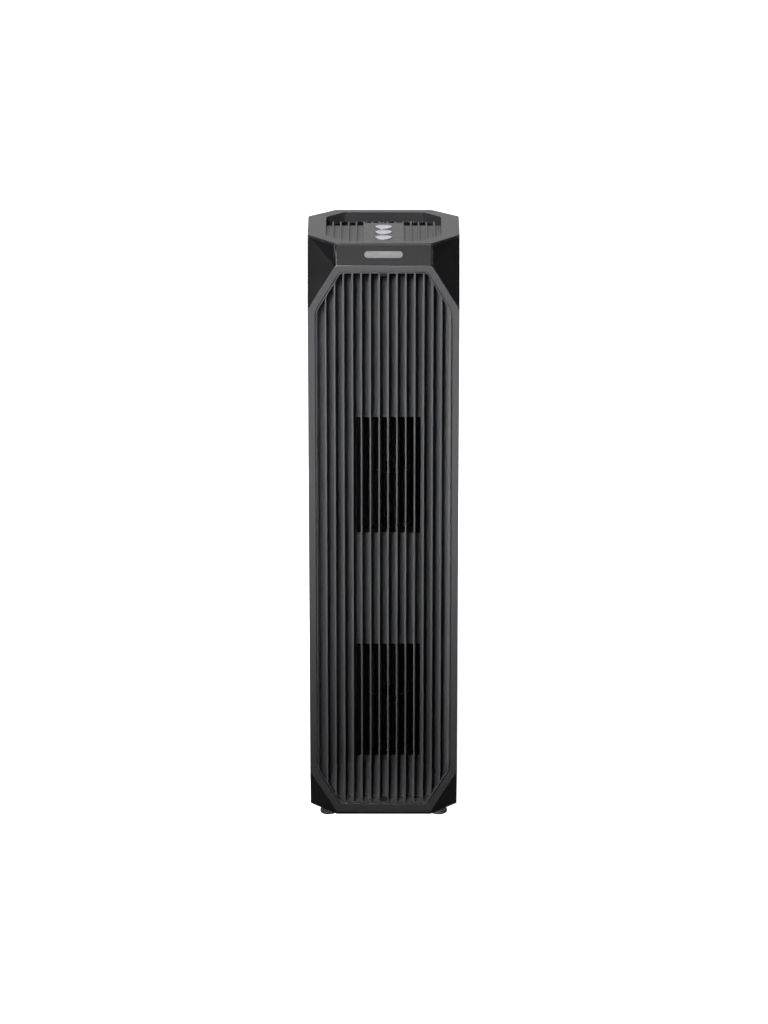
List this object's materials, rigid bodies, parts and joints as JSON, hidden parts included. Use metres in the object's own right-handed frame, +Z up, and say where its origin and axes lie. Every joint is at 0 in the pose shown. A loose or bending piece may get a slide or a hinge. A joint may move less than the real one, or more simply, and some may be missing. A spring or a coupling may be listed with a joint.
{
  "type": "tower fan",
  "caption": "Black octagonal tower fan with a tall finned front grille, slatted top tray with silver buttons and a hand recess.",
  "frame": {"origin": "middle of the base, on the surface that the feet stand on", "axes": "+Z up along the height, -Y towards the grille, +X to the right seen from the front"},
  "size_m": [0.146, 0.106, 0.6],
  "materials": {
    "shell_black": "satin",
    "rear_black": "satin",
    "bezel_graphite": "satin",
    "fin_graphite": "satin",
    "duct_black": "gloss",
    "rim_graphite": "satin",
    "tray_graphite": "satin",
    "cup_black": "gloss",
    "pad_black": "gloss",
    "button_silver": "satin",
    "plate_silver": "satin",
    "inner_black": "matte",
    "foot_rubber": "matte",
    "steel": "satin",
    "zinc_plate": "satin",
    "copper": "satin",
    "bronze": "satin",
    "board_green": "gloss",
    "component_mix": "satin",
    "filter_white": "matte",
    "filter_frame_grey": "matte",
    "tab_blue": "matte",
    "lead_red": "satin",
    "lead_black": "satin",
    "lead_white": "satin"
  },
  "bodies": {
    "root": {"front_shell": "shell_black", "rear_shell": "rear_black", "base_plate": "inner_black", "foot_front_left": "foot_rubber", "foot_front_right": "foot_rubber", "foot_rear_left": "foot_rubber", "foot_rear_right": "foot_rubber", "front_bezel": "bezel_graphite", "grille_frame": "fin_graphite", "grille_fins": "fin_graphite", "grille_clips": "inner_black", "duct_panel": "duct_black", "duct_ends": "duct_black", "name_plate": "plate_silver", "top_rim": "rim_graphite", "slat_tray": "tray_graphite", "hand_cup": "cup_black", "control_pad": "pad_black", "control_board": "board_green", "tact_switches": "component_mix", "power_board": "board_green", "board_components": "component_mix", "board_standoffs": "bronze", "lower_scroll": "inner_black", "upper_scroll": "inner_black", "lower_bearing_block": "zinc_plate", "upper_bearing_block": "zinc_plate", "motor_can": "zinc_plate", "motor_stator": "zinc_plate", "motor_coils": "copper", "motor_bushes": "bronze", "damper_rings": "foot_rubber", "motor_bracket": "zinc_plate", "filter_bay": "inner_black", "mains_inlet": "inner_black", "inlet_pins": "bronze", "motor_lead": "lead_red", "mains_lead": "lead_black", "control_lead": "lead_white", "case_screws": "steel", "duct_screws": "steel", "base_screws": "steel", "tray_screws": "steel", "board_screws": "steel", "motor_screws": "steel"},
    "rotor": {"rotor_shaft": "steel", "motor_rotor": "zinc_plate", "lower_wheel": "inner_black", "upper_wheel": "inner_black", "wheel_screws": "steel"},
    "button_back": {"button_back": "button_silver"},
    "button_middle": {"button_middle": "button_silver"},
    "button_front": {"button_front": "button_silver"},
    "rear_cover": {"rear_cover": "rear_black"},
    "filter": {"filter_frame": "filter_frame_grey", "filter_media": "filter_white", "prefilter_mesh": "inner_black", "filter_pull_tab": "tab_blue"}
  },
  "joints": [
    {"name": "rotor_spin", "type": "hinge", "parent": "root", "child": "rotor", "pos_m": [0.0048, 0, 0.236], "axis": [0, 0, 1], "continuous": true},
    {"name": "button_back_press", "type": "slide", "parent": "root", "child": "button_back", "axis": [0, 0, -1], "range_m": [0, 0.0008], "stiffness_N_per_m": 800, "springref_m": -0.0005},
    {"name": "button_middle_press", "type": "slide", "parent": "root", "child": "button_middle", "axis": [0, 0, -1], "range_m": [0, 0.0008], "stiffness_N_per_m": 800, "springref_m": -0.0005},
    {"name": "button_front_press", "type": "slide", "parent": "root", "child": "button_front", "axis": [0, 0, -1], "range_m": [0, 0.0008], "stiffness_N_per_m": 800, "springref_m": -0.0005},
    {"name": "rear_cover_slide", "type": "slide", "parent": "root", "child": "rear_cover", "axis": [0, 1, 0], "range_m": [0, 0.16]},
    {"name": "filter_slide", "type": "slide", "parent": "root", "child": "filter", "axis": [0, 1, 0], "range_m": [0, 0.08]}
  ],
  "couplings": [
    {"joint": "filter_slide", "follows": "rear_cover_slide", "ratio": 0.5}
  ]
}
